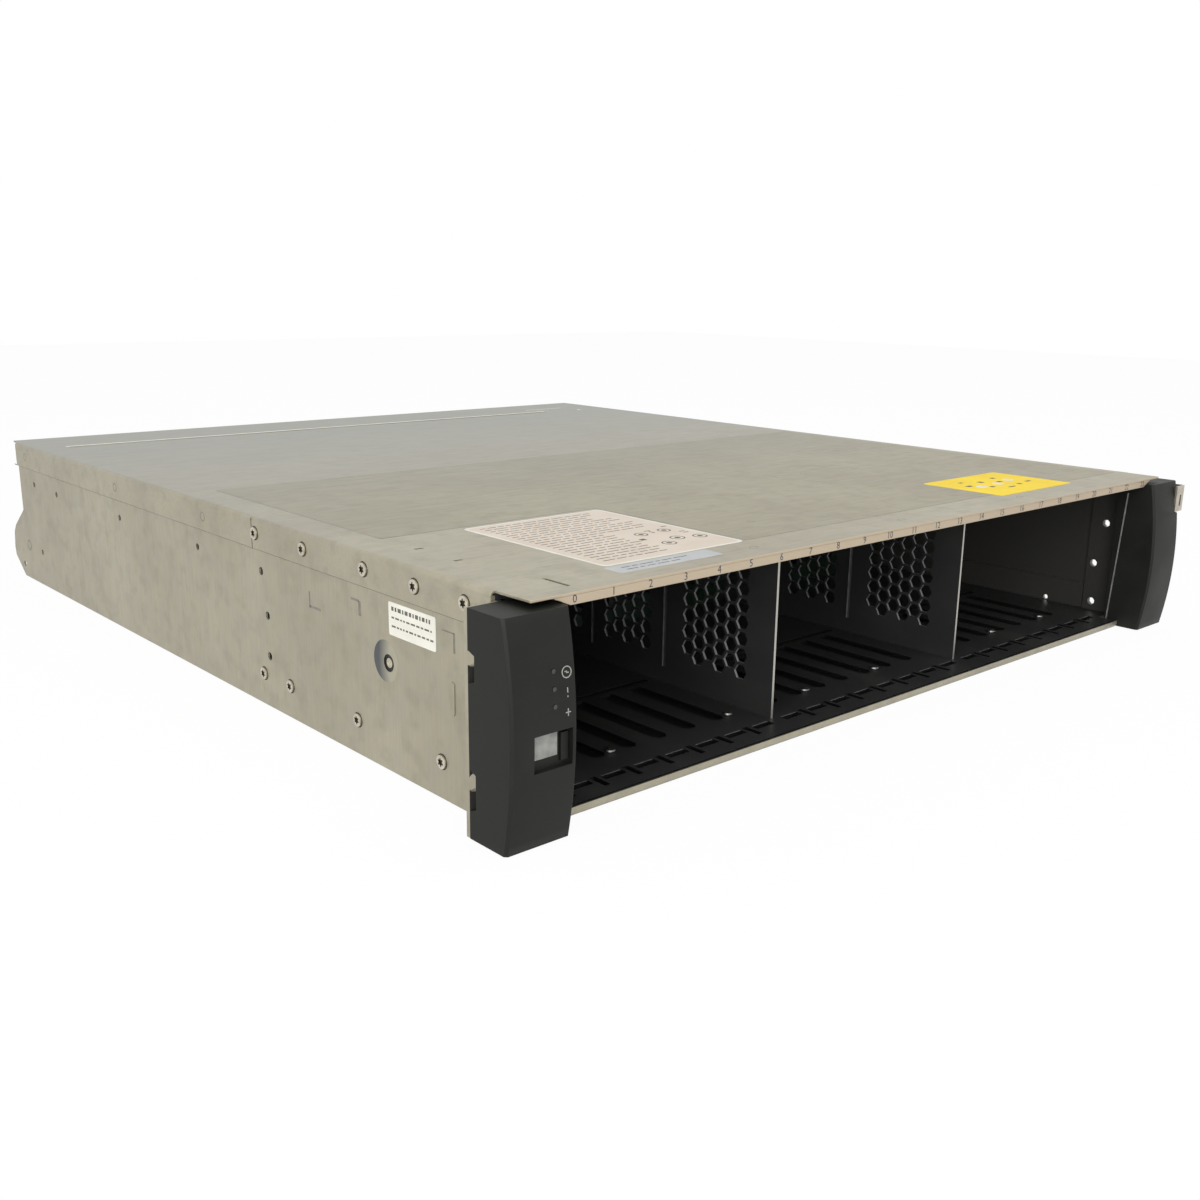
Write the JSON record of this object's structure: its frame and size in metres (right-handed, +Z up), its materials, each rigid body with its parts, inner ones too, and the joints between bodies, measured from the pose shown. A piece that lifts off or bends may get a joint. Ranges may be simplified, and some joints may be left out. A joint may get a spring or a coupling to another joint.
{
  "type": "disk shelf enclosure",
  "caption": "Rack-mounted sheet-metal shelf with open drive bays, honeycomb dividers, moulded end caps and pull-out power and controller modules at the rear",
  "frame": {"origin": "centre of the underside, midway between the front lip and the rear edge of the top cover", "axes": "+X right seen from the front, +Y from the drive side to the rear, +Z up"},
  "size_m": [0.4766, 0.5359, 0.085],
  "materials": {
    "galvanised_steel": "brushed zinc-coated sheet",
    "black_paint": "satin",
    "ear_steel": "satin",
    "tab_steel": "satin",
    "charcoal_plastic": "fine moulded texture",
    "smoked_window": "translucent",
    "light_pipe": "clear",
    "circuit_board": "solder mask",
    "connector_plastic": "moulded",
    "display_plastic": "gloss",
    "rivet_steel": "zinc",
    "module_steel": "satin zinc",
    "fan_plastic": "moulded",
    "lever_plastic": "moulded",
    "port_metal": "nickel",
    "rocker_plastic": "gloss"
  },
  "bodies": {
    "chassis": {"left_side_plate": "galvanised_steel", "right_side_plate": "galvanised_steel", "base_pan": "galvanised_steel", "front_cover": "galvanised_steel", "rear_cover": "galvanised_steel", "bay_floor": "black_paint", "bay_ceiling": "black_paint", "midplane_board": "circuit_board", "drive_connectors": "connector_plastic", "module_connectors": "connector_plastic", "midplane_brackets": "black_paint", "left_module_wall": "galvanised_steel", "right_module_wall": "galvanised_steel", "module_shelf": "galvanised_steel", "left_rack_ear": "ear_steel", "right_rack_ear": "ear_steel", "right_ear_tab": "tab_steel", "indicator_board": "circuit_board", "id_display": "display_plastic", "side_rivets": "rivet_steel", "cover_rivets": "rivet_steel", "left_bay_divider": "black_paint", "right_bay_divider": "black_paint"},
    "left_cap": {"left_end_cap": "charcoal_plastic", "display_window": "smoked_window", "light_pipes": "light_pipe"},
    "id_push": {"id_button": "charcoal_plastic"},
    "right_cap": {"right_end_cap": "charcoal_plastic"},
    "left_psu": {"left_psu_case": "module_steel", "left_psu_face": "module_steel", "left_psu_inlet": "connector_plastic", "left_psu_fan_frames": "fan_plastic"},
    "left_psu_switch": {"left_psu_rocker": "rocker_plastic"},
    "left_psu_handle": {"left_psu_lever": "lever_plastic"},
    "left_psu_lower_fan": {"left_psu_lower_rotor": "fan_plastic"},
    "left_psu_upper_fan": {"left_psu_upper_rotor": "fan_plastic"},
    "right_psu": {"right_psu_case": "module_steel", "right_psu_face": "module_steel", "right_psu_inlet": "connector_plastic", "right_psu_fan_frames": "fan_plastic"},
    "right_psu_switch": {"right_psu_rocker": "rocker_plastic"},
    "right_psu_handle": {"right_psu_lever": "lever_plastic"},
    "right_psu_lower_fan": {"right_psu_lower_rotor": "fan_plastic"},
    "right_psu_upper_fan": {"right_psu_upper_rotor": "fan_plastic"},
    "lower_module": {"lower_module_case": "module_steel", "lower_module_face": "module_steel", "lower_module_ports": "port_metal"},
    "lower_module_left_handle": {"lower_module_left_lever": "lever_plastic"},
    "lower_module_right_handle": {"lower_module_right_lever": "lever_plastic"},
    "upper_module": {"upper_module_case": "module_steel", "upper_module_face": "module_steel", "upper_module_ports": "port_metal"},
    "upper_module_left_handle": {"upper_module_left_lever": "lever_plastic"},
    "upper_module_right_handle": {"upper_module_right_lever": "lever_plastic"}
  },
  "joints": [
    {"name": "left_cap_pull", "type": "slide", "parent": "chassis", "child": "left_cap", "axis": [0, -1, 0], "range_m": [0, 0.03]},
    {"name": "right_cap_pull", "type": "slide", "parent": "chassis", "child": "right_cap", "axis": [0, -1, 0], "range_m": [0, 0.03]},
    {"name": "id_button_press", "type": "slide", "parent": "left_cap", "child": "id_push", "axis": [0, 1, 0], "range_m": [0, 0.0008], "stiffness_N_per_m": 120},
    {"name": "left_psu_slide", "type": "slide", "parent": "chassis", "child": "left_psu", "axis": [0, 1, 0], "range_m": [0, 0.3]},
    {"name": "left_psu_switch_rock", "type": "hinge", "parent": "left_psu", "child": "left_psu_switch", "pos_m": [-0.1681, 0.241, 0.0524], "axis": [1, 0, 0], "range_deg": [-8, 8]},
    {"name": "left_psu_handle_swing", "type": "hinge", "parent": "left_psu", "child": "left_psu_handle", "pos_m": [-0.1235, 0.2485, 0.0104], "axis": [-1, 0, 0], "range_deg": [0, 75]},
    {"name": "left_psu_lower_fan_spin", "type": "hinge", "parent": "left_psu", "child": "left_psu_lower_fan", "pos_m": [-0.2001, 0.234, 0.0249], "axis": [0, 1, 0], "continuous": true},
    {"name": "left_psu_upper_fan_spin", "type": "hinge", "parent": "left_psu", "child": "left_psu_upper_fan", "pos_m": [-0.2001, 0.234, 0.0601], "axis": [0, 1, 0], "continuous": true},
    {"name": "right_psu_slide", "type": "slide", "parent": "chassis", "child": "right_psu", "axis": [0, 1, 0], "range_m": [0, 0.3]},
    {"name": "right_psu_switch_rock", "type": "hinge", "parent": "right_psu", "child": "right_psu_switch", "pos_m": [0.1655, 0.241, 0.0524], "axis": [1, 0, 0], "range_deg": [-8, 8]},
    {"name": "right_psu_handle_swing", "type": "hinge", "parent": "right_psu", "child": "right_psu_handle", "pos_m": [0.2101, 0.2485, 0.0104], "axis": [-1, 0, 0], "range_deg": [0, 75]},
    {"name": "right_psu_lower_fan_spin", "type": "hinge", "parent": "right_psu", "child": "right_psu_lower_fan", "pos_m": [0.1335, 0.234, 0.0249], "axis": [0, 1, 0], "continuous": true},
    {"name": "right_psu_upper_fan_spin", "type": "hinge", "parent": "right_psu", "child": "right_psu_upper_fan", "pos_m": [0.1335, 0.234, 0.0601], "axis": [0, 1, 0], "continuous": true},
    {"name": "lower_module_slide", "type": "slide", "parent": "chassis", "child": "lower_module", "axis": [0, 1, 0], "range_m": [0, 0.3]},
    {"name": "lower_module_left_lever_swing", "type": "hinge", "parent": "lower_module", "child": "lower_module_left_handle", "pos_m": [-0.1037, 0.2485, 0.0215], "axis": [0, 0, 1], "range_deg": [0, 75]},
    {"name": "lower_module_right_lever_swing", "type": "hinge", "parent": "lower_module", "child": "lower_module_right_handle", "pos_m": [0.1037, 0.2485, 0.0215], "axis": [0, 0, -1], "range_deg": [0, 75]},
    {"name": "upper_module_slide", "type": "slide", "parent": "chassis", "child": "upper_module", "axis": [0, 1, 0], "range_m": [0, 0.3]},
    {"name": "upper_module_left_lever_swing", "type": "hinge", "parent": "upper_module", "child": "upper_module_left_handle", "pos_m": [-0.1037, 0.2485, 0.0635], "axis": [0, 0, 1], "range_deg": [0, 75]},
    {"name": "upper_module_right_lever_swing", "type": "hinge", "parent": "upper_module", "child": "upper_module_right_handle", "pos_m": [0.1037, 0.2485, 0.0635], "axis": [0, 0, -1], "range_deg": [0, 75]}
  ]
}
